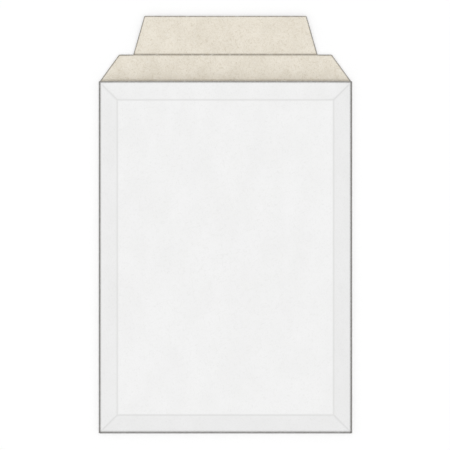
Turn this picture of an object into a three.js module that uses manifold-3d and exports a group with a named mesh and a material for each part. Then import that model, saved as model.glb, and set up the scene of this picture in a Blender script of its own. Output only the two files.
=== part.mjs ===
// A cardboard envelope, a board mailer for papers, open and lying on its back.
// It is one blank of solid board: the back panel runs over the foot fold into the front panel and over
// the mouth into a two-part flap, and a glue tab on each side of the back holds the front's side edge.
// Units are millimetres. X runs across, +Y from the foot to the flap, +Z from the back to the front.
// The origin is the middle of the pocket's back, on its outer face.
import * as THREE from "three";
import { mergeVertices } from "three/addons/utils/BufferGeometryUtils.js";
import Module from "manifold-3d";

// The board
const BOARD = 0.6; // thickness

// The pocket
const POCKET_WIDTH = 180; // over the side folds
const POCKET_LENGTH = 250; // from the foot fold to the mouth
const POCKET_DEPTH = 10; // from the back's outer face to the front's
const BORDER = 13.3; // sloping border round the front panel, seen from above
const GLUE_TAB = 12; // along the board, from the side fold
const FOLD_SHOWN = 0.5; // of the side fold, past the front's cut edge
const MOUTH_GAP = 6.4; // between the boards at the middle of the mouth
const BOW_POWER = 6; // of the curve of the front's lip: higher is flatter in the middle

// The flap: a shoulder from its fold at the mouth to a crease, then a narrower tongue
const SHOULDER_LENGTH = 18.4;
const SHOULDER_END_WIDTH = 151;
const SHOULDER_LIFT = THREE.MathUtils.degToRad(0.8); // over the floor
const TONGUE_LENGTH = 27.5;
const TONGUE_BASE_WIDTH = 130.8;
const TONGUE_TIP_WIDTH = 115.1;
const TONGUE_LIFT = THREE.MathUtils.degToRad(2); // over the floor

// The creases, V grooves pressed into the board, round the front panel and across the flap
const CREASE_WIDTH = 1.2;
const CREASE_DEPTH = 0.15;

// Facets
const FOLD_FACETS = 2; // in each half of a side fold, under and over its outermost line
const MOUTH_FACETS = 28; // along the bowed lip

const MOUTH_Y = POCKET_LENGTH / 2;
const SIDE_X = POCKET_WIDTH / 2;
const LIP_TOP = MOUTH_GAP + 2 * BOARD; // top of the lip, at its middle
const PAST_MOUTH = MOUTH_GAP; // how far the cutter of the hollow runs out through the mouth

const wasm = await Module();
wasm.setup();

// A closed three.js geometry as a solid, less the triangles that a seam has closed to a line.
function solidOf(geometry) {
  const plain = new THREE.BufferGeometry();
  plain.setAttribute("position", geometry.getAttribute("position"));
  plain.setIndex(geometry.getIndex());
  const merged = mergeVertices(plain, 1e-4);
  const corners = Array.from(merged.index.array);
  const triangles = [];
  for (let i = 0; i < corners.length; i += 3) {
    const [a, b, c] = corners.slice(i, i + 3);
    if (a !== b && b !== c && c !== a) triangles.push(a, b, c);
  }
  return new wasm.Manifold(
    new wasm.Mesh({
      numProp: 3,
      vertProperties: merged.getAttribute("position").array,
      triVerts: new Uint32Array(triangles),
    }),
  );
}

// A solid as a three.js geometry with flat faces.
function geometryOf(solid) {
  const mesh = solid.getMesh();
  const geometry = new THREE.BufferGeometry();
  geometry.setAttribute("position", new THREE.BufferAttribute(mesh.vertProperties, 3));
  geometry.setIndex(new THREE.BufferAttribute(mesh.triVerts, 1));
  const faceted = geometry.toNonIndexed();
  faceted.computeVertexNormals();
  return faceted;
}

// A closed skin over rings of points that run the same way round, from the lowest ring to the highest.
// Each end is a fan from the ring's middle.
function skinOver(rings) {
  const count = rings[0].length;
  const points = rings.flat();
  const index = [];
  for (let level = 0; level + 1 < rings.length; level++) {
    for (let i = 0; i < count; i++) {
      const a = level * count + i;
      const b = level * count + ((i + 1) % count);
      index.push(a, b, b + count, a, b + count, a + count);
    }
  }
  const middleOf = (ring) =>
    ring.reduce((sum, p) => sum.add(p), new THREE.Vector3()).divideScalar(count);
  const top = points.length - count;
  const bottomMiddle = points.length;
  for (let i = 0; i < count; i++) {
    const next = (i + 1) % count;
    index.push(bottomMiddle, next, i, bottomMiddle + 1, top + i, top + next);
  }
  points.push(middleOf(rings[0]), middleOf(rings.at(-1)));
  return new THREE.BufferGeometry().setFromPoints(points).setIndex(index);
}

// Slope of a border that rises from its fold to the front panel, with so many layers of board in it.
function borderSlope(layers) {
  const rise = POCKET_DEPTH - BOARD;
  const run = BORDER - BOARD;
  return Math.acos((layers * BOARD) / Math.hypot(rise, run)) - Math.atan2(run, rise);
}

const SIDE_SLOPE = borderSlope(2); // glue tab and front
const FOOT_SLOPE = borderSlope(1); // front alone

// How far in from the outline the outer face of the foot's fold and border lies at a height.
function footOuterInset(z) {
  const foldEnd = BOARD + BOARD * Math.cos(FOOT_SLOPE);
  if (z <= foldEnd) return BOARD - Math.sqrt(Math.max(0, BOARD ** 2 - (z - BOARD) ** 2));
  return BOARD - BOARD * Math.sin(FOOT_SLOPE) + (z - foldEnd) / Math.tan(FOOT_SLOPE);
}

// How far in from the outline the inner face of the foot's border lies at a height.
function footInnerInset(z) {
  return BOARD + (z - BOARD) / Math.tan(FOOT_SLOPE);
}

// How high the front's lip bows at a share across the mouth, from 0 at its ends to 1 in the middle.
function bow(across) {
  return 1 - Math.abs(across) ** BOW_POWER;
}

// One ring round the pocket: its two corners at the foot, then a line along the mouth, where
// mouth(across) gives a point's y and z for across from 1 on the right to -1 on the left.
function pocketRing(sideInset, footInset, z, mouth) {
  const x = SIDE_X - sideInset;
  const footY = -MOUTH_Y + footInset;
  const ring = [new THREE.Vector3(-x, footY, z), new THREE.Vector3(x, footY, z)];
  for (let i = 0; i <= MOUTH_FACETS; i++) {
    const across = 1 - (2 * i) / MOUTH_FACETS;
    ring.push(new THREE.Vector3(x * across, ...mouth(across)));
  }
  return ring;
}

// The outside of the pocket, from the floor up: round the side fold to the glue tab, up the front's cut
// edge, and up the borders to the front panel.
function pocketOutside() {
  const side = [];
  for (let i = -FOLD_FACETS; i <= FOLD_FACETS; i++) {
    const turn = ((i < 0 ? Math.PI / 2 : Math.PI / 2 - SIDE_SLOPE) * i) / FOLD_FACETS;
    side.push([BOARD - BOARD * Math.cos(turn), BOARD + BOARD * Math.sin(turn)]);
  }
  const [foldInset, foldTop] = side.at(-1);
  const edgeInset = foldInset + FOLD_SHOWN * Math.cos(SIDE_SLOPE);
  const edgeFoot = foldTop + FOLD_SHOWN * Math.sin(SIDE_SLOPE);
  const edgeTop = edgeFoot + BOARD * Math.cos(SIDE_SLOPE);
  side.push([edgeInset, edgeFoot], [edgeInset - BOARD * Math.sin(SIDE_SLOPE), edgeTop]);
  const lip = (across) => edgeTop + (LIP_TOP - edgeTop) * bow(across);
  const rings = side.map(([inset, z]) =>
    pocketRing(inset, footOuterInset(z), z, (across) => [MOUTH_Y, (lip(across) * z) / edgeTop]),
  );

  // The groove of the crease between the borders and the front panel
  const start = BORDER - CREASE_WIDTH / 2;
  const end = BORDER + CREASE_WIDTH / 2;
  const startZ = POCKET_DEPTH - (CREASE_WIDTH / 2) * Math.tan(SIDE_SLOPE);
  const grooveZ = POCKET_DEPTH - CREASE_DEPTH - (POCKET_DEPTH - startZ) / 2;
  const atStart = (across) => {
    const share = start / BORDER;
    const border = THREE.MathUtils.lerp(lip(across), POCKET_DEPTH, share);
    return [MOUTH_Y - start, Math.abs(across) < 1 ? border : startZ];
  };
  rings.push(
    pocketRing(start, start, startZ, atStart),
    pocketRing(BORDER, BORDER, grooveZ, () => [MOUTH_Y - BORDER, grooveZ]),
    pocketRing(end, end, POCKET_DEPTH, () => [MOUTH_Y - end, POCKET_DEPTH]),
  );
  return skinOver(rings);
}

// The hollow of the pocket, from the back's inner face up: out through the mouth, then under the glue
// tabs, over their free edges and up to the inside of the front panel.
function pocketHollow() {
  const ceiling = POCKET_DEPTH - BOARD;
  const crestInset = BORDER + BOARD * Math.tan(SIDE_SLOPE / 2);
  const footCrestInset = BORDER + BOARD * Math.tan(FOOT_SLOPE / 2);
  const tabInset = BOARD + GLUE_TAB * Math.cos(SIDE_SLOPE);
  const tabFoot = BOARD + GLUE_TAB * Math.sin(SIDE_SLOPE);
  const tabTop = tabFoot + BOARD / Math.cos(SIDE_SLOPE);
  const lip = (across) => BOARD + MOUTH_GAP * bow(across);
  const atTab = (z) => (across) => {
    const share = tabInset / crestInset;
    const border = THREE.MathUtils.lerp(lip(across), ceiling, share);
    return [MOUTH_Y - tabInset, Math.abs(across) < 1 ? border : z];
  };
  return skinOver([
    pocketRing(BOARD, BOARD, BOARD, () => [MOUTH_Y + PAST_MOUTH, BOARD]),
    pocketRing(BOARD, BOARD, BOARD, (across) => [MOUTH_Y + PAST_MOUTH, lip(across)]),
    pocketRing(BOARD, BOARD, BOARD, (across) => [MOUTH_Y, lip(across)]),
    pocketRing(tabInset, footInnerInset(tabFoot), tabFoot, atTab(tabFoot)),
    pocketRing(tabInset, footInnerInset(tabTop), tabTop, atTab(tabTop)),
    pocketRing(crestInset, footCrestInset, ceiling, () => [MOUTH_Y - crestInset, ceiling]),
  ]);
}

// Where the flap's fold, crease and tip lie as it rests: how far along Y, and how high its underside is.
const FOLD_Y = MOUTH_Y + CREASE_WIDTH / 2;
const CREASE_Y = FOLD_Y + SHOULDER_LENGTH * Math.cos(SHOULDER_LIFT);
const CREASE_Z = SHOULDER_LENGTH * Math.sin(SHOULDER_LIFT);
const TIP_Y = CREASE_Y + TONGUE_LENGTH * Math.cos(TONGUE_LIFT);
const TIP_Z = CREASE_Z + TONGUE_LENGTH * Math.sin(TONGUE_LIFT);

// The flap seen from above, with a root that lies in the pocket's back panel.
function flapOutline() {
  const right = [
    [SIDE_X - BORDER, MOUTH_Y - BORDER],
    [SIDE_X - BOARD, MOUTH_Y],
    [SHOULDER_END_WIDTH / 2, CREASE_Y],
    [TONGUE_BASE_WIDTH / 2, CREASE_Y],
    [TONGUE_TIP_WIDTH / 2, TIP_Y],
  ];
  const left = right.map(([x, y]) => [-x, y]).reverse();
  const shape = new THREE.Shape([...right, ...left].map(([x, y]) => new THREE.Vector2(x, y)));
  return new THREE.ExtrudeGeometry(shape, {
    depth: POCKET_DEPTH + TIP_Z,
    bevelEnabled: false,
  }).translate(0, 0, -BOARD);
}

// The flap's board seen from the side, as wide as the pocket, with a groove at its fold and its crease.
function flapSection() {
  const under = [
    [MOUTH_Y - BORDER, 0],
    [FOLD_Y, 0],
    [CREASE_Y, CREASE_Z],
    [TIP_Y, TIP_Z],
  ];
  const groove = ([y, z], slopeBefore, slopeAfter) => [
    [y - CREASE_WIDTH / 2, z + BOARD - (CREASE_WIDTH / 2) * Math.tan(slopeBefore)],
    [y, z + BOARD - CREASE_DEPTH],
    [y + CREASE_WIDTH / 2, z + BOARD + (CREASE_WIDTH / 2) * Math.tan(slopeAfter)],
  ];
  const [root, fold, crease, tip] = under;
  const over = [
    [root[0], root[1] + BOARD],
    ...groove(fold, 0, SHOULDER_LIFT),
    ...groove(crease, SHOULDER_LIFT, TONGUE_LIFT),
    [tip[0], tip[1] + BOARD],
  ];
  const points = [...under, ...over.reverse()].map(([y, z]) => new THREE.Vector2(y, z));
  // Turned so that the shape's x is the part's Y, its y the part's Z, and its depth the part's X.
  const turn = new THREE.Matrix4().makeBasis(
    new THREE.Vector3(0, 1, 0),
    new THREE.Vector3(0, 0, 1),
    new THREE.Vector3(1, 0, 0),
  );
  return new THREE.ExtrudeGeometry(new THREE.Shape(points), {
    depth: POCKET_WIDTH,
    bevelEnabled: false,
  })
    .applyMatrix4(turn)
    .translate(-SIDE_X, 0, 0);
}

// The whole envelope: the hollow pocket, and the flap that grows out of its back panel.
function envelope() {
  const pocket = solidOf(pocketOutside()).subtract(solidOf(pocketHollow()));
  const flap = solidOf(flapSection()).intersect(solidOf(flapOutline()));
  return pocket.add(flap);
}

const board = new THREE.Mesh(
  geometryOf(envelope()),
  new THREE.MeshStandardMaterial({ color: 0xf2f2f2, roughness: 0.6, metalness: 0 }),
);
board.name = "folded_board";

const part = new THREE.Group();
part.add(board);

export default part;
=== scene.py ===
"""The looks of an open cardboard envelope, a board mailer for papers that lies on its back.

The board is white outside and natural beige inside. One skin is worked out as arrays for the whole
folded blank: the front with its sloping borders, the foot fold, the back with its side folds and
glue tabs, and the flap. The skin then gets the board's thickness. Lengths are in millimetres until
a mesh is written, and X runs across, +Y towards the flap and +Z up, as in the frame.
"""

import logging
import math
from dataclasses import dataclass, field
from enum import IntEnum

import bpy
import numpy as np
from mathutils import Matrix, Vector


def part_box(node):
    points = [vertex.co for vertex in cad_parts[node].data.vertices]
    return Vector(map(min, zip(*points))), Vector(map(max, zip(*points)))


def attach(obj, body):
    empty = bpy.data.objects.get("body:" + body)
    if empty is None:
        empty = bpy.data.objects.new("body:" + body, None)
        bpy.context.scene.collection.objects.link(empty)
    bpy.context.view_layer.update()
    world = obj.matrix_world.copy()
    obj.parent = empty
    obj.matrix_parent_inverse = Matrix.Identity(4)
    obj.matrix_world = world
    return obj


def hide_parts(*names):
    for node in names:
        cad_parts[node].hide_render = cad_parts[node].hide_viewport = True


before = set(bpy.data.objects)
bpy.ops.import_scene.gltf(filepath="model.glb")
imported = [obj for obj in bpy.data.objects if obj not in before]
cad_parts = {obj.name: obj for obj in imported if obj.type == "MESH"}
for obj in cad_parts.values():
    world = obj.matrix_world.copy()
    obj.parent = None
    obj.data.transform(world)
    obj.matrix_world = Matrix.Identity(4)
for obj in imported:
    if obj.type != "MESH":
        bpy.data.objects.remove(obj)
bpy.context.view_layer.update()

LOG = logging.getLogger("envelope")
NODE = "folded_board"
MM = 0.001  # a millimetre in the scene's metres
SLACK = 1e-6  # what rounding may add to a length or a count
WELD_DECIMALS = 4  # to how many decimals of a millimetre the points that meet agree
WHITE = (1.0, 1.0, 1.0, 1.0)


class Face(IntEnum):
    """The faces of the board, in the order of the mesh's material slots."""

    OUTSIDE = 0
    INSIDE = 1
    CUT = 2


class Mark(IntEnum):
    """What a point of the board carries, from 0 to 1, in the order of a skin's marks.

    CREASE is how deep in a pressed crease the point lies, FOLD how hard the board is bent there,
    EDGE how close it is to a die-cut edge, and PRESSED how far the inside alone is pushed in.
    CREASE, FOLD and EDGE also darken the colour: a crease partly as crushed board and partly as
    painted shade in its groove, a fold and a cut edge partly as wear and exposed pulp and partly as
    painted shade along the envelope's outline.
    """

    CREASE = 0
    FOLD = 1
    EDGE = 2
    PRESSED = 3


def linear(colour: str) -> tuple[float, float, float, float]:
    """Turns an sRGB hex colour to linear, by the formula of the sRGB standard.

    Args:
        colour: "#rrggbb".

    Returns:
        Red, green, blue and an alpha of 1, as a shader's socket takes them.
    """
    shares = [int(colour[i : i + 2], 16) / 255 for i in (1, 3, 5)]
    return (*(c / 12.92 if c <= 0.04045 else ((c + 0.055) / 1.055) ** 2.4 for c in shares), 1.0)


def spaced(*runs: tuple[float, float, float]) -> np.ndarray:
    """Coordinates along runs that follow one another.

    Args:
        runs: for each run its start, its end and the largest step in it.

    Returns:
        The coordinates, evenly spaced within each run, both ends included.
    """
    parts = [np.linspace(a, b, math.ceil(abs(b - a) / step - SLACK) + 1)[:-1] for a, b, step in runs]
    return np.append(np.concatenate(parts), runs[-1][1])


def near(distance: np.ndarray, reach: float) -> np.ndarray:
    """A bell of height 1 where the distance is 0.

    Args:
        distance: in millimetres.
        reach: the distance at which the bell is half as high.

    Returns:
        One half to the power of the square of distance / reach.
    """
    return 0.5 ** ((distance / reach) ** 2)


@dataclass
class Skin:
    """The outer skin of some board: points, quads that face out, and a row of marks for each point."""

    points: np.ndarray
    quads: np.ndarray
    marks: np.ndarray

    @classmethod
    def over_grid(cls, points: np.ndarray, marks: np.ndarray) -> "Skin":
        """Covers a grid of points with quads that face along columns crossed with rows.

        Args:
            points: rows by columns by 3.
            marks: rows by columns by the number of marks.

        Returns:
            The skin.
        """
        rows, columns = points.shape[:2]
        corner = np.arange(rows * columns).reshape(rows, columns)
        quads = np.stack(
            [corner[:-1, :-1], corner[:-1, 1:], corner[1:, 1:], corner[1:, :-1]], axis=-1
        )
        return cls(points.reshape(-1, 3), quads.reshape(-1, 4), marks.reshape(rows * columns, -1))

    @classmethod
    def joined(cls, skins: list["Skin"]) -> "Skin":
        """Joins skins where their points meet.

        Args:
            skins: skins whose shared edges hold the same points.

        Returns:
            One skin, in which points that meet are one point with the larger of their marks.
        """
        starts = np.cumsum([0] + [len(skin.points) for skin in skins[:-1]])
        points = np.concatenate([skin.points for skin in skins])
        marks = np.concatenate([skin.marks for skin in skins])
        quads = np.concatenate([skin.quads + start for skin, start in zip(skins, starts)])
        _, first, which = np.unique(
            np.round(points, WELD_DECIMALS), axis=0, return_index=True, return_inverse=True
        )
        which = which.reshape(-1)
        most = np.zeros((len(first), marks.shape[1]))
        np.maximum.at(most, which, marks)
        return cls(points[first], which[quads], most)

    def normals(self) -> np.ndarray:
        """Unit normals at the points: the sum of the normals of the quads that meet there."""
        corners = self.points[self.quads]
        flat = np.cross(corners[:, 2] - corners[:, 0], corners[:, 3] - corners[:, 1])
        total = np.zeros_like(self.points)
        np.add.at(total, self.quads, flat[:, None, :])
        return total / np.linalg.norm(total, axis=1, keepdims=True)

    def rim(self) -> np.ndarray:
        """The edges that only one quad has, as pairs of points in that quad's order."""
        edges = np.stack([self.quads, np.roll(self.quads, -1, axis=1)], axis=-1).reshape(-1, 2)
        count = len(self.points)
        forward = edges[:, 0] * count + edges[:, 1]
        backward = edges[:, 1] * count + edges[:, 0]
        return edges[~np.isin(forward, backward)]


@dataclass(frozen=True)
class Board:
    """Solid board: white outside and beige inside, with its grey middle showing where it is cut."""

    thickness: float = 0.6
    crease_reach: float = 0.46  # from a crease's middle to where its mark is half as strong
    crease_depth: float = 0.16
    edge_reach: float = 0.95  # from a cut edge to where its dark band, partly wear and partly painted shade, is half as strong
    fold_radius: float = 0.75  # of the board's outside at a side fold
    darkened_angle: float = math.radians(60)  # how far under its outermost line a fold is darkened, partly as wear and partly as painted shade
    glue: float = 0.03  # between a glue tab and the front
    smoothed_angle: float = math.radians(50)  # faces that meet at more than this keep a sharp edge

    def fold_darkening(self, turn: np.ndarray) -> np.ndarray:
        """How dark a fold is round its circle, where the back turns up into a side or the foot.

        The darkening is partly wear and partly painted shade along the envelope's outline.

        Args:
            turn: the angle in radians, from -pi / 2 on the back to 0 at the outermost line.

        Returns:
            0 up to the worn angle under the outermost line, then rising evenly to 1 there, and 1
            above it.
        """
        return np.clip(1 + turn / self.darkened_angle, 0, 1)

    def build(self, name: str, skin: Skin, finishes: list[bpy.types.Material]) -> bpy.types.Object:
        """Makes the closed board under a skin.

        The inside lies a thickness below the outside, along the outside's normals, and less where it
        is pressed. Quads from each edge of the outside to the inside close the cut edges.

        Args:
            name: the piece's name.
            skin: its outside, in millimetres.
            finishes: the materials, in the order of Face.

        Returns:
            The object, which stays at the frame's origin.
        """
        count = len(skin.points)
        depth = self.thickness - self.crease_depth * skin.marks[:, Mark.PRESSED]
        inside = skin.points - skin.normals() * depth[:, None]
        a, b = skin.rim().T
        cut = np.stack([b, a, a + count, b + count], axis=-1)
        quads = np.concatenate([skin.quads, skin.quads[:, ::-1] + count, cut])
        faces = np.repeat(
            [Face.OUTSIDE, Face.INSIDE, Face.CUT], [len(skin.quads), len(skin.quads), len(cut)]
        )
        mesh = bpy.data.meshes.new(name)
        mesh.from_pydata((np.concatenate([skin.points, inside]) * MM).tolist(), [], quads.tolist())
        for finish in finishes:
            mesh.materials.append(finish)
        mesh.polygons.foreach_set("material_index", faces.astype(np.int32))
        mesh.polygons.foreach_set("use_smooth", np.ones(len(quads), bool))
        for mark in Mark:
            layer = mesh.attributes.new(mark.name.lower(), "FLOAT", "POINT")
            layer.data.foreach_set("value", np.tile(skin.marks[:, mark], 2))
        mesh.update()
        mesh.set_sharp_from_angle(angle=self.smoothed_angle)
        piece = bpy.data.objects.new(name, mesh)
        bpy.context.scene.collection.objects.link(piece)
        return piece


@dataclass(frozen=True)
class Flap:
    """The two-part flap: a shoulder that narrows from the mouth, then a narrower tongue."""

    root_half: float  # half its width where it leaves the back
    mouth: float  # where along Y the pocket ends
    tip: float  # where along Y the tongue ends
    fold_offset: float = 0.6  # from the mouth to the line that the flap folds on
    shoulder_length: float = 18.4  # along the board, from the fold to the tongue
    shoulder_end_half: float = 75.5
    tongue_base_half: float = 65.4
    tongue_tip_half: float = 57.55
    shoulder_lift: float = math.radians(0.8)  # slope from the fold to the tongue, as it rests
    tongue_lift: float = math.radians(2.0)  # slope of the tongue
    corner_radius: float = 0.5
    curl: float = 0.5  # height of the tip's corners over its middle
    # The crease and edge marks paint dark lines: at a crease partly crushed fibres and partly painted
    # shade, at a cut edge partly exposed pulp and partly painted shade.
    crease_reach: float = 0.58
    edge_reach: float = 0.65
    hidden_crease: float = 0.4  # strength of the fold's crease line, partly crushed fibres and partly painted shade, kept low in the lip's shade
    fine: float = 0.18  # largest step along Y in the band at a crease or a cut edge
    coarse: float = 2.2  # largest step between the bands
    fine_band: float = 2.0  # width of a band

    @property
    def fold(self) -> float:
        """Where along Y the flap folds."""
        return self.mouth + self.fold_offset

    @property
    def crease(self) -> float:
        """Where along Y the tongue starts."""
        return self.fold + self.shoulder_length * math.cos(self.shoulder_lift)

    def rows(self, start: float, end: float) -> np.ndarray:
        """Places along Y over one part of the flap.

        Args:
            start: where the part starts.
            end: where it ends.

        Returns:
            The places, close together in a band at each end, where a crease or a cut edge is.
        """
        inner, outer = start + self.fine_band, end - self.fine_band
        return spaced((start, inner, self.fine), (inner, outer, self.coarse), (outer, end, self.fine))

    def rounded(self, half: np.ndarray, y: np.ndarray, end: float) -> np.ndarray:
        """Rounds the corner where a tapering edge meets a straight end.

        Args:
            half: half the width without the rounding.
            y: where along Y.
            end: the straight end's place along Y.

        Returns:
            Half the width, which a quarter circle brings in by its radius at the end.
        """
        r = self.corner_radius
        into = np.clip(y - (end - r), 0, r)
        return half - r + np.sqrt(r**2 - into**2)

    def height(self, x: np.ndarray, y: np.ndarray) -> np.ndarray:
        """Height of the underside: flat to the fold, a slope to each bend, and corners that curl up.

        Args:
            x: across, for each point.
            y: along, for each point.

        Returns:
            The height at each point.
        """
        lift = np.tan(self.shoulder_lift) * np.maximum(y - self.fold, 0)
        past = np.maximum(y - self.crease, 0)
        lift += (np.tan(self.tongue_lift) - np.tan(self.shoulder_lift)) * past
        out = past / (self.tip - self.crease)
        return lift + self.curl * out**2 * (x / self.tongue_tip_half) ** 2

    def skin_of(self, x: np.ndarray, y: np.ndarray, edge: np.ndarray) -> Skin:
        """The skin of one part of the flap, with both creases marked.

        Args:
            x: across, for each point.
            y: along, for each point.
            edge: distance to the nearest cut edge, for each point.

        Returns:
            The skin, which faces down.
        """
        at_fold = near(y - self.fold, self.crease_reach)
        at_crease = near(y - self.crease, self.crease_reach)
        marks = np.zeros((*x.shape, len(Mark)))
        # Creases and cut edges are darkened in the colour, partly as crushed fibres and exposed pulp,
        # partly as painted shade.
        marks[..., Mark.CREASE] = np.maximum(self.hidden_crease * at_fold, at_crease)
        marks[..., Mark.PRESSED] = np.maximum(at_fold, at_crease)
        marks[..., Mark.EDGE] = near(edge, self.edge_reach)
        return Skin.over_grid(np.stack([x, y, self.height(x, y)], axis=-1), marks)

    def shoulder(self, columns: np.ndarray) -> Skin:
        """The part next to the mouth. Its middle keeps the columns' places and its sides narrow.

        Args:
            columns: places across, from the largest to the smallest, with the tongue's base in them.

        Returns:
            The skin from the mouth to the crease.
        """
        base, root = self.tongue_base_half, self.root_half
        y = self.rows(self.mouth, self.crease)
        straight = root + (self.shoulder_end_half - root) * (y - self.mouth) / (self.crease - self.mouth)
        half = self.rounded(straight, y, self.crease)[:, None]
        away = np.abs(columns)[None, :]
        share = np.clip((away - base) / (root - base), 0, None)
        x = np.sign(columns) * (np.minimum(away, base) + share * (half - base))
        y = np.broadcast_to(y[:, None], x.shape)
        slant = math.atan2(root - self.shoulder_end_half, self.crease - self.mouth)
        edge = (half - np.abs(x)) * math.cos(slant)
        edge = np.where(np.abs(x) > base, np.minimum(edge, self.crease - y), edge)
        return self.skin_of(x, y, edge)

    def tongue(self, columns: np.ndarray) -> Skin:
        """The narrower part, from the crease to the tip. Each row is scaled to the tongue's width.

        Args:
            columns: places across, from the largest to the smallest, with the tongue's base in them.

        Returns:
            The skin from the crease to the tip.
        """
        columns = columns[np.abs(columns) <= self.tongue_base_half + SLACK]
        y = self.rows(self.crease, self.tip)
        out = (y - self.crease) / (self.tip - self.crease)
        straight = self.tongue_base_half + (self.tongue_tip_half - self.tongue_base_half) * out
        half = self.rounded(straight, y, self.tip)[:, None]
        x = columns / self.tongue_base_half * half
        y = np.broadcast_to(y[:, None], x.shape)
        edge = np.minimum(half - np.abs(x), self.tip - y)
        return self.skin_of(x, y, edge)


@dataclass(frozen=True)
class Pocket:
    """The pocket: back panel, side folds with glue tabs, foot fold, and the front in its borders."""

    board: Board
    half_width: float
    half_length: float
    depth: float  # from the floor to the front panel's outside
    border: float = 13.3  # width of the sloping border, seen from above
    glue_tab: float = 12.0  # along the board, from the side fold
    fold_shown: float = 0.5  # of the side fold, past the front's cut edge
    mitre_start: float = 1.0  # from the outline to where a mitre crease begins
    mitre_fade: float = 2.0  # from there to where it is whole
    foot_darkening_reach: float = 1.45  # from the foot's outline to where its dark band, partly wear and partly painted shade, is half as strong
    corner_gap: float = 0.2  # from the foot's outline to the ends of the side folds
    tab_clearance: float = 1.5  # the most by which a glue tab's ends stay back from 45 degrees
    clearance_rise: float = 2.0  # how much that grows for each millimetre in from the fold
    mouth_gap: float = 6.4  # clear height in the middle of the mouth
    bow_power: int = 6  # the higher, the flatter the middle of the bowed lip
    sag: float = 0.3  # of the front panel's middle
    tab_darkening: float = 2.0  # how far up a glue tab the fold's dark band of wear and painted shade reaches over what length that band ends there
    tab_darkening_fade: float = 1.0  # over what length the wear ends there
    fine: float = 0.35  # largest step over the borders and at their creases
    tongue_fine: float = 0.2  # largest step across at the tongue's edges
    medium: float = 2.0  # largest step across from the tongue's edges to the borders
    coarse: float = 5.0  # largest step over the panel
    fine_band: float = 1.5  # how far the fine steps go past a crease or an edge
    foot_steps: int = 12  # rows of points round the foot fold
    side_steps: int = 9  # steps round a side fold
    tab_steps: int = 15  # steps across a glue tab
    back_steps: int = 48  # steps along the back

    @property
    def slope(self) -> float:
        """The borders' slope, at which back, glue tab and front together reach the front panel.

        The front's outside leaves the side fold at a distance q = radius + glue + thickness from the
        fold's centre, so (depth - radius) cos slope - (border - radius) sin slope = q.
        """
        radius = self.board.fold_radius
        rise, run = self.depth - radius, self.border - radius
        q = radius + self.board.glue + self.board.thickness
        return math.acos(q / math.hypot(rise, run)) - math.atan2(run, rise)

    @property
    def edge_height(self) -> float:
        """Height of a border's outside where its slope meets the outline."""
        return self.depth - self.border * math.tan(self.slope)

    @property
    def foot_radius(self) -> float:
        """Radius of the foot fold, at which the foot's border has the sides' slope."""
        return self.edge_height / (1 - math.tan(self.slope) + 1 / math.cos(self.slope))

    @property
    def flat_half(self) -> float:
        """Half the flat width of the back, between the side folds."""
        return self.half_width - self.board.fold_radius

    @property
    def front_half(self) -> float:
        """Half the front's width, between its cut edges."""
        radius, slope = self.board.fold_radius, self.slope
        out = (radius + self.board.glue + self.board.thickness) * math.sin(slope)
        return self.flat_half + out - self.fold_shown * math.cos(slope)

    def columns(self, tongue_half: float) -> np.ndarray:
        """Places across the board, from left to right.

        Args:
            tongue_half: half the tongue's base, which is one of the places.

        Returns:
            The places, close together over the borders, their creases and the tongue's edges.
        """
        tongue_band = tongue_half - self.fine_band
        border_band = self.half_width - self.border - self.fine_band
        half = spaced(
            (0, tongue_band, self.coarse),
            (tongue_band, tongue_half, self.tongue_fine),
            (tongue_half, border_band, self.medium),
            (border_band, self.flat_half, self.fine),
        )
        return np.concatenate([-half[:0:-1], half])

    def border_height(self, x: np.ndarray, y: np.ndarray) -> np.ndarray:
        """Height of the front's outside over its borders and its panel.

        A point's share is its distance from the outline over the border's width, at most 1. Its ring
        is the rectangle of that share round the panel, which puts the mitres at 45 degrees. The height
        goes straight from the outline's to the panel's as the share goes from 0 to 1. The outline's
        height is the same all round but at the mouth, where the lip bows up as 1 - |across|^power.

        Args:
            x: across, for each point.
            y: along, for each point.

        Returns:
            The height at each point, less the panel's sag, a product of two parabolas.
        """
        side = self.half_width - np.abs(x)
        foot, mouth = self.half_length + y, self.half_length - y
        share = np.clip(np.minimum(np.minimum(side, foot), mouth) / self.border, 0, 1)
        across = np.clip(x / (self.half_width - self.border * share), -1, 1)
        top = self.board.thickness + self.mouth_gap + self.board.thickness
        lip = self.edge_height + (top - self.edge_height) * (1 - np.abs(across) ** self.bow_power)
        start = np.where(mouth <= np.minimum(side, foot), lip, self.edge_height)
        panel_x, panel_y = self.half_width - self.border, self.half_length - self.border
        dish = np.clip(1 - (x / panel_x) ** 2, 0, None) * np.clip(1 - (y / panel_y) ** 2, 0, None)
        return start + (self.depth - start) * share - self.sag * dish

    def front_creases(self, x: np.ndarray, y: np.ndarray) -> np.ndarray:
        """The creases of the front: the rectangle round the panel, and the mitres at its corners.

        Args:
            x: across, for each point.
            y: along, for each point.

        Returns:
            The crease mark at each point, a bell over the distance to the nearest crease. A mitre's
            is 0 up to mitre_start from the outline, and whole from mitre_fade further in.
        """
        side = self.half_width - np.abs(x)
        end = self.half_length - np.abs(y)
        rectangle = np.minimum(side, end) - self.border
        # Over the panel there is no mitre, so it counts as a border's width away.
        mitre = np.where(rectangle < 0, np.abs(side - end) / math.sqrt(2), self.border)
        kept = np.clip((np.minimum(side, end) - self.mitre_start) / self.mitre_fade, 0, 1)
        reach = self.board.crease_reach
        return np.maximum(near(rectangle, reach), near(mitre, reach) * kept)

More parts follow.
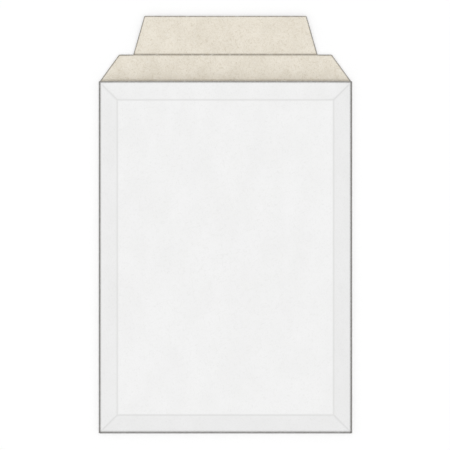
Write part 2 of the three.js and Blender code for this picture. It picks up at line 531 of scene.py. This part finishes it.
    def front(self, columns: np.ndarray) -> Skin:
        """The front: from the back round the foot fold, up the border and over the panel to the lip.

        The fold's rows lie on a circle, and the rest is a height over the plan. Past the fold the
        front widens, over the length of its radius, from the flat back's width to its own.

        Args:
            columns: places across the back, from left to right.

        Returns:
            The skin, which faces down where it starts and up over the panel.
        """
        radius, steps = self.foot_radius, self.foot_steps
        turn = np.linspace(-math.pi / 2, math.pi / 2 - self.slope, steps)
        arc = radius * (1 - np.cos(turn))
        band, length = self.border + self.fine_band, 2 * self.half_length
        over = spaced(
            (arc[-1], band, self.fine),
            (band, length - band, self.coarse),
            (length - band, length, self.fine),
        )[1:]
        y = np.concatenate([arc, over]) - self.half_length
        widening = np.concatenate([np.zeros(steps), (over - arc[-1]) / radius])
        half = self.flat_half + (self.front_half - self.flat_half) * np.minimum(widening, 1)
        x = columns / self.flat_half * half[:, None]
        y = np.broadcast_to(y[:, None], x.shape)
        z = self.border_height(x, y)
        z[:steps] = radius * (1 + np.sin(turn))[:, None]
        marks = np.zeros((*x.shape, len(Mark)))
        # The crease mark also darkens the colour: partly crushed coating, partly painted shade in the
        # groove.
        marks[steps:, :, Mark.CREASE] = self.front_creases(x, y)[steps:]
        z = z - self.board.crease_depth * marks[..., Mark.CREASE]
        # Along the cut edges and the foot fold the colour is darkened, partly as wear and exposed pulp,
        # partly as painted shade along the outline.
        edge = np.minimum(half[:, None] - np.abs(x), self.half_length - y)
        marks[..., Mark.EDGE] = near(edge, self.board.edge_reach)
        marks[..., Mark.FOLD] = near(y + self.half_length, self.foot_darkening_reach)
        marks[:steps] *= self.board.fold_darkening(turn)[:, None, None]
        return Skin.over_grid(np.stack([x, y, z], axis=-1), marks)

    def back(self, columns: np.ndarray) -> Skin:
        """The back with its side folds and glue tabs.

        Across, it runs from one tab's free edge down the tab, round the fold's circle, over the flat
        back and the same way up the other side. Towards the foot the flat back stops where the foot
        fold starts, and the side folds reach on from there by the cosine of their angle, nearly to
        the outline. The tabs' ends are cut back at 45 degrees, and by up to the tab clearance more.

        Args:
            columns: places across the flat back, from the largest to the smallest.

        Returns:
            The skin, which faces down over the back and up over the tabs.
        """
        radius, slope = self.board.fold_radius, self.slope
        turn = np.linspace(math.pi / 2 - slope, -math.pi / 2, self.side_steps + 1)
        along = np.linspace(self.glue_tab, 0, self.tab_steps + 1)[:-1]
        tab_x = self.flat_half + radius * math.sin(slope) - along * math.cos(slope)
        tab_z = radius + radius * math.cos(slope) + along * math.sin(slope)
        fold_x = self.flat_half + radius * np.cos(turn)
        fold_z = radius + radius * np.sin(turn)
        side_x = np.concatenate([tab_x, fold_x])[:-1]
        side_z = np.concatenate([tab_z, fold_z])[:-1]
        x = np.concatenate([side_x, columns, -side_x[::-1]])
        z = np.concatenate([side_z, np.zeros_like(columns), side_z[::-1]])
        cut = np.concatenate([along * math.cos(slope), np.zeros(len(turn) - 1)])
        cut = np.concatenate([cut, np.zeros_like(columns), cut[::-1]])
        back_off = np.minimum(self.clearance_rise * cut, self.tab_clearance)
        outward = np.concatenate([np.zeros(len(along)), np.cos(turn)])[:-1]
        reach = np.concatenate([outward, np.zeros_like(columns), outward[::-1]])
        reach *= self.foot_radius - self.corner_gap
        start = -self.half_length + self.foot_radius - reach + cut + back_off
        end = self.half_length - cut - back_off
        share = np.linspace(0, 1, self.back_steps + 1)[:, None]
        y = start + (end - start) * share
        x, z = np.broadcast_to(x, y.shape), np.broadcast_to(z, y.shape)
        marks = np.zeros((*y.shape, len(Mark)))
        # Round the side folds and onto the tabs the colour is darkened, partly as wear, partly as
        # painted shade along the outline.
        tab_bent = np.clip((self.tab_darkening - along) / self.tab_darkening_fade, 0, 1)
        bent = np.concatenate([tab_bent, self.board.fold_darkening(turn)])[:-1]
        marks[..., Mark.FOLD] = np.concatenate([bent, np.zeros_like(columns), bent[::-1]])
        return Skin.over_grid(np.stack([x, y, z], axis=-1), marks)


def add_node(
    tree: bpy.types.NodeTree,
    kind: str,
    settings: dict[str, object] | None = None,
    inputs: dict[str, object] | None = None,
) -> bpy.types.Node:
    """Adds a node with its settings and links.

    Args:
        tree: the tree that gets the node.
        kind: the node's type.
        settings: the node's own properties.
        inputs: for an input's name or identifier, the value it holds or the socket that feeds it.

    Returns:
        The node.
    """
    node = tree.nodes.new(kind)
    for name, value in (settings or {}).items():
        setattr(node, name, value)
    for name, value in (inputs or {}).items():
        socket = next(s for s in node.inputs if name in (s.identifier, s.name))
        if isinstance(value, bpy.types.NodeSocket):
            tree.links.new(value, socket)
        else:
            socket.default_value = value
    return node


def seen(tree: bpy.types.NodeTree) -> bpy.types.NodeSocket:
    """Adds the test for what is seen: by the camera, in a reflection or through glass.

    Args:
        tree: the tree of a material or of the world.

    Returns:
        The socket that gives 1 to such rays and 0 to those that only carry light.
    """
    rays = add_node(tree, "ShaderNodeLightPath").outputs
    result = rays["Is Camera Ray"]
    for ray in ("Is Glossy Ray", "Is Transmission Ray"):
        inputs = {"Value": result, "Value_001": rays[ray]}
        result = add_node(tree, "ShaderNodeMath", {"operation": "MAXIMUM"}, inputs).outputs[0]
    return result


@dataclass(frozen=True)
class Grain:
    """A pattern of noise in the board.

    The size of a grain is in millimetres along X, Y and Z before the pattern is turned about Z by an
    angle in degrees. The noise from low to high gives the pattern from 0 to 1, so high limits leave
    few grains. The warp bends them.
    """

    size: tuple[float, float, float]
    turn: float = 0.0
    low: float = 0.35
    high: float = 0.65
    detail: float = 2.0
    warp: float = 0.0

    def add(self, tree: bpy.types.NodeTree) -> bpy.types.NodeSocket:
        """Adds the pattern to a tree, on Object coordinates.

        Args:
            tree: the material's tree.

        Returns:
            The socket that gives the pattern, from 0 to 1.
        """
        inputs = {
            "Vector": add_node(tree, "ShaderNodeTexCoord").outputs["Object"],
            "Rotation": (0.0, 0.0, math.radians(self.turn)),
            "Scale": tuple(grain * MM for grain in self.size),
        }
        place = add_node(tree, "ShaderNodeMapping", {"vector_type": "TEXTURE"}, inputs).outputs["Vector"]
        inputs = {"Vector": place, "Scale": 1.0, "Detail": self.detail, "Distortion": self.warp}
        noise = add_node(tree, "ShaderNodeTexNoise", None, inputs)
        limits = {"Value": noise.outputs["Fac"], "From Min": self.low, "From Max": self.high}
        return add_node(tree, "ShaderNodeMapRange", None, limits).outputs["Result"]


@dataclass(frozen=True)
class Finish:
    """How one face of the board looks.

    Each cloud, and each lot of fibres, is a colour, how much of it shows, and its grain. The dark
    lines at creases, folds and cut edges lie over the clouds and under the fibres, and a strength is
    how much of their colour shows. A crease's line is partly crushed board and partly painted shade;
    the bands at folds and cut edges are partly wear and exposed pulp and partly painted shade along
    the outline. The roughness goes from the first value in the hollows of the relief to the second
    on its tops. The relief's height is in millimetres.
    """

    name: str
    colour: str
    roughness: tuple[float, float]
    clouds: tuple[tuple[str, float, Grain], ...]
    fibres: tuple[tuple[str, float, Grain], ...]
    crease_shade_colour: str
    crease_shade_strength: float
    wear_and_shade_colour: str
    edges_worn_and_shaded: float
    folds_worn_and_shaded: float
    fuzz: Grain
    relief: Grain
    relief_height: float
    fraying: float = 0.6  # how much the fuzz eats into the dark bands of wear and painted shade

    def build(self) -> bpy.types.Material:
        """Makes the material: clouded board, dark lines at its creases, folds and edges, and fibres.

        The lines are partly crushed board, wear and exposed pulp, and partly painted shade. The share
        of a fold's or an edge's line is (1 + fraying) * mark - fraying * fuzz, held between 0 and 1, so
        it is whole where the mark is 1 and frays where the mark fades. Creases don't fray.

        Returns:
            The material.
        """
        material = bpy.data.materials.new(self.name)
        material.use_nodes = True
        tree = material.node_tree
        tree.nodes.clear()
        fuzz = self.fuzz.add(tree)
        # Dark lines at creases, folds and cut edges: partly crushed board, wear and exposed pulp, partly
        # painted shade.
        worn = (
            (self.crease_shade_colour, self.crease_shade_strength, Mark.CREASE, 0.0),
            (self.wear_and_shade_colour, self.folds_worn_and_shaded, Mark.FOLD, self.fraying),
            (self.wear_and_shade_colour, self.edges_worn_and_shaded, Mark.EDGE, self.fraying),
        )
        layers = [(tint, strength, grain.add(tree)) for tint, strength, grain in self.clouds]
        for tint, strength, mark, fraying in worn:
            named = {"attribute_type": "GEOMETRY", "attribute_name": mark.name.lower()}
            amount = add_node(tree, "ShaderNodeAttribute", named).outputs["Fac"]
            inputs = {"Value": fuzz, "Value_001": -fraying}
            frayed = add_node(tree, "ShaderNodeMath", {"operation": "MULTIPLY"}, inputs).outputs[0]
            inputs = {"Value": amount, "Value_001": 1 + fraying, "Value_002": frayed}
            clamped = {"operation": "MULTIPLY_ADD", "use_clamp": True}
            layers.append((tint, strength, add_node(tree, "ShaderNodeMath", clamped, inputs).outputs[0]))
        layers += [(tint, strength, grain.add(tree)) for tint, strength, grain in self.fibres]
        colour = linear(self.colour)
        for tint, strength, amount in layers:
            inputs = {"Value": amount, "Value_001": strength}
            share = add_node(tree, "ShaderNodeMath", {"operation": "MULTIPLY"}, inputs).outputs[0]
            inputs = {"Factor_Float": share, "A_Color": colour, "B_Color": linear(tint)}
            mix = add_node(tree, "ShaderNodeMix", {"data_type": "RGBA"}, inputs)
            colour = next(s for s in mix.outputs if s.identifier == "Result_Color")
        raised = self.relief.add(tree)
        inputs = {"Height": raised, "Distance": self.relief_height * MM, "Strength": 1.0}
        relief = add_node(tree, "ShaderNodeBump", None, inputs).outputs["Normal"]
        inputs = {"Value": raised, "To Min": self.roughness[0], "To Max": self.roughness[1]}
        roughness = add_node(tree, "ShaderNodeMapRange", None, inputs).outputs["Result"]
        surface = {"Base Color": colour, "Roughness": roughness, "Normal": relief}
        board = add_node(tree, "ShaderNodeBsdfPrincipled", None, surface)
        add_node(tree, "ShaderNodeOutputMaterial", None, {"Surface": board.outputs["BSDF"]})
        return material


# The noise, like torn fibres, that frays the dark bands of wear and painted shade on both liners.
FRAYING_NOISE = Grain((0.3, 0.4, 0.3), low=0.3, high=0.7, detail=4.0)

# What all fibres of the natural liner share.
NATURAL_FIBRE = {"low": 0.57, "high": 0.75, "detail": 1.0, "warp": 0.8}

# Coated white top liner, calendered: smooth and matt, with a faint cloudiness and a few fibres of the
# pulp under the coating. A crease is painted light grey, partly crushed coating and partly painted
# shade in its groove. Along the folds and the die-cut edges a dark grey band is painted, partly the
# rubbed-down grey pulp and partly painted shade that outlines the envelope. The fibres are drawn
# wider than real ones, to show.
WHITE_TOP = Finish(
    name="calendered_white_top_liner",
    colour="#F3F3F3",
    roughness=(0.55, 0.7),
    clouds=(("#E9E9E8", 0.3, Grain((16.0, 24.0, 16.0), detail=4.0)),),
    fibres=(
        ("#DFDFDD", 0.35, Grain((0.5, 2.6, 0.5), turn=20, low=0.56, high=0.78, detail=1.0, warp=0.6)),
        ("#DFDFDD", 0.35, Grain((0.5, 2.6, 0.5), turn=-65, low=0.56, high=0.78, detail=1.0, warp=0.6)),
    ),
    crease_shade_colour="#DADAD9",
    crease_shade_strength=0.75,
    wear_and_shade_colour="#777572",
    edges_worn_and_shaded=0.95,
    folds_worn_and_shaded=0.95,
    fuzz=FRAYING_NOISE,
    relief=Grain((0.7, 1.5, 0.7)),
    relief_height=0.012,
)

# Natural pulp liner, uncoated: soft beige and rougher, with pale and brown fibres that lie every way.
# Real fibres are thinner than a pixel of the render, so they are drawn wide enough to show. Its
# creases are painted brown, partly crushed fibres and partly painted shade, and its cut edges get a
# dark grey band, partly exposed pulp and partly painted shade along the outline.
NATURAL_INSIDE = Finish(
    name="uncoated_natural_liner",
    colour="#EEE7D9",
    roughness=(0.75, 0.95),
    clouds=(("#DDD5C5", 0.5, Grain((12.0, 16.0, 12.0), detail=4.0)),),
    fibres=(
        ("#C3B69D", 0.45, Grain((0.45, 3.0, 0.45), turn=15, **NATURAL_FIBRE)),
        ("#C3B69D", 0.45, Grain((0.45, 2.6, 0.45), turn=70, **NATURAL_FIBRE)),
        ("#C3B69D", 0.45, Grain((0.45, 2.6, 0.45), turn=-40, **NATURAL_FIBRE)),
        ("#F6F2EA", 0.35, Grain((0.5, 3.2, 0.5), turn=-75, **NATURAL_FIBRE)),
        ("#F6F2EA", 0.35, Grain((0.5, 3.2, 0.5), turn=40, **NATURAL_FIBRE)),
    ),
    crease_shade_colour="#867F73",
    crease_shade_strength=0.95,
    wear_and_shade_colour="#74706A",
    edges_worn_and_shaded=0.95,
    folds_worn_and_shaded=0.3,
    fuzz=FRAYING_NOISE,
    relief=Grain((0.6, 1.0, 0.6), detail=3.0),
    relief_height=0.03,
)

# The board's middle plies where the die has cut through them: grey pulp, dull and finely layered.
CUT_PLIES = Finish(
    name="die_cut_board_plies",
    colour="#9F9A91",
    roughness=(0.9, 1.0),
    clouds=(("#77726A", 0.6, Grain((2.5, 2.5, 0.12))),),
    fibres=(("#C9C3B8", 0.4, Grain((1.6, 1.6, 0.1), low=0.55, high=0.75)),),
    # On the cut faces, too, creases, folds and edges are darkened a little, partly as crushing and wear,
    # partly as painted shade.
    crease_shade_colour="#85817A",
    crease_shade_strength=0.3,
    wear_and_shade_colour="#85817A",
    edges_worn_and_shaded=0.2,
    folds_worn_and_shaded=0.2,
    fuzz=Grain((0.8, 0.8, 0.8)),
    relief=Grain((0.6, 0.6, 0.12)),
    relief_height=0.04,
)


@dataclass
class Envelope:
    """The whole envelope: one blank of board, folded and glued."""

    board: Board = field(default_factory=Board)

    def build(self) -> bpy.types.Object:
        """Makes the folded blank from the sizes of its node in the frame, and dresses it.

        Returns:
            The piece that stands for the node.
        """
        low, high = (np.array(corner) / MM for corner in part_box(NODE))
        pocket = Pocket(
            self.board, half_width=float(high[0]), half_length=float(-low[1]), depth=float(high[2])
        )
        flap = Flap(root_half=pocket.flat_half, mouth=pocket.half_length, tip=float(high[1]))
        columns = pocket.columns(flap.tongue_base_half)
        turned = columns[::-1]
        skins = [pocket.front(columns), pocket.back(turned), flap.shoulder(turned), flap.tongue(turned)]
        finishes = [finish.build() for finish in (WHITE_TOP, NATURAL_INSIDE, CUT_PLIES)]
        piece = self.board.build("folded_envelope_board", Skin.joined(skins), finishes)
        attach(piece, "root")
        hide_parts(NODE)
        return piece


@dataclass(frozen=True)
class Studio:
    """A white floor, even light from all round, a soft lamp overhead, and a camera straight above."""

    floor_size: float = 16.0  # metres
    floor_drop: float = 0.3 * MM  # from the envelope's underside down to the floor
    floor_colour: str = "#FDFDFD"
    floor_lift: float = 0.045  # light that the floor gives off where it is seen, to look white
    sky: float = 0.59  # how bright the light from all round makes a level white surface
    lamp: float = 0.39  # how much brighter the lamp makes it
    lamp_tilt: float = math.radians(3)
    lamp_angle: float = math.radians(30)  # how wide the lamp looks, which softens its shadows
    lens: float = 500.0
    sensor: float = 36.0
    view_width: float = 319.5 * MM  # what the picture's width covers at the view level
    view_centre: tuple[float, float] = (-0.3 * MM, 23.0 * MM)
    view_level: float = 2.0 * MM  # height over the frame's origin

    def build_floor(self) -> bpy.types.Object:
        """Makes the floor, a square a little under the envelope, that looks white where it is lit."""
        half = self.floor_size / 2
        x, y = np.meshgrid([-half, half], [-half, half])
        points = np.stack([x, y, np.full_like(x, -self.floor_drop)], axis=-1)
        skin = Skin.over_grid(points, np.zeros((2, 2, 1)))
        mesh = bpy.data.meshes.new("studio_floor")
        mesh.from_pydata(skin.points.tolist(), [], skin.quads.tolist())
        floor = bpy.data.objects.new("studio_floor", mesh)
        bpy.context.scene.collection.objects.link(floor)
        material = bpy.data.materials.new("matt_white_paper_floor")
        material.use_nodes = True
        tree = material.node_tree
        tree.nodes.clear()
        lifts = {"Value": seen(tree), "To Max": self.floor_lift}
        surface = {
            "Base Color": linear(self.floor_colour),
            "Roughness": 1.0,
            "Specular IOR Level": 0.0,
            "Emission Color": WHITE,
            "Emission Strength": add_node(tree, "ShaderNodeMapRange", None, lifts).outputs["Result"],
        }
        paper = add_node(tree, "ShaderNodeBsdfPrincipled", None, surface)
        add_node(tree, "ShaderNodeOutputMaterial", None, {"Surface": paper.outputs["BSDF"]})
        mesh.materials.append(material)
        return floor

    def build_sky(self) -> bpy.types.World:
        """Makes the light from all round, which is plain white to the camera and in reflections."""
        world = bpy.data.worlds.new("white_studio")
        world.use_nodes = True
        tree = world.node_tree
        tree.nodes.clear()
        inputs = {"Value": seen(tree), "To Min": self.sky, "To Max": 1.0}
        strength = add_node(tree, "ShaderNodeMapRange", None, inputs).outputs["Result"]
        light = add_node(tree, "ShaderNodeBackground", None, {"Color": WHITE, "Strength": strength})
        add_node(tree, "ShaderNodeOutputWorld", None, {"Surface": light.outputs["Background"]})
        bpy.context.scene.world = world
        return world

    def build_lamp(self) -> bpy.types.Object:
        """Makes the overhead lamp, which leans a little towards the picture's upper left."""
        lamp = bpy.data.lights.new("overhead_softbox", "SUN")
        lamp.angle = self.lamp_angle
        # A sun of strength pi lights a white surface that faces it to 1.
        lamp.energy = math.pi * self.lamp / math.cos(self.lamp_tilt)
        holder = bpy.data.objects.new("overhead_softbox", lamp)
        holder.rotation_euler = (-self.lamp_tilt / math.sqrt(2), -self.lamp_tilt / math.sqrt(2), 0)
        bpy.context.scene.collection.objects.link(holder)
        return holder

    def build_camera(self) -> bpy.types.Object:
        """Makes the camera, far above the envelope with a long lens, with the flap at the top."""
        camera = bpy.data.cameras.new("overhead_camera")
        camera.lens = self.lens
        camera.sensor_width = self.sensor
        holder = bpy.data.objects.new("overhead_camera", camera)
        distance = self.view_width * self.lens / self.sensor
        holder.location = (*self.view_centre, self.view_level + distance)
        bpy.context.scene.collection.objects.link(holder)
        bpy.context.scene.camera = holder
        return holder

    def build(self) -> None:
        """Makes the studio and sets the plain view transform."""
        for part in (self.build_floor(), self.build_sky(), self.build_lamp(), self.build_camera()):
            LOG.info("studio: %s", part.name)
        bpy.context.scene.view_settings.view_transform = "Standard"


def main() -> None:
    logging.basicConfig(level=logging.INFO, format="%(message)s")
    Studio().build()
    piece = Envelope().build()
    LOG.info("piece: %s, %d faces", piece.name, len(piece.data.polygons))


if __name__ == "__main__":
    main()
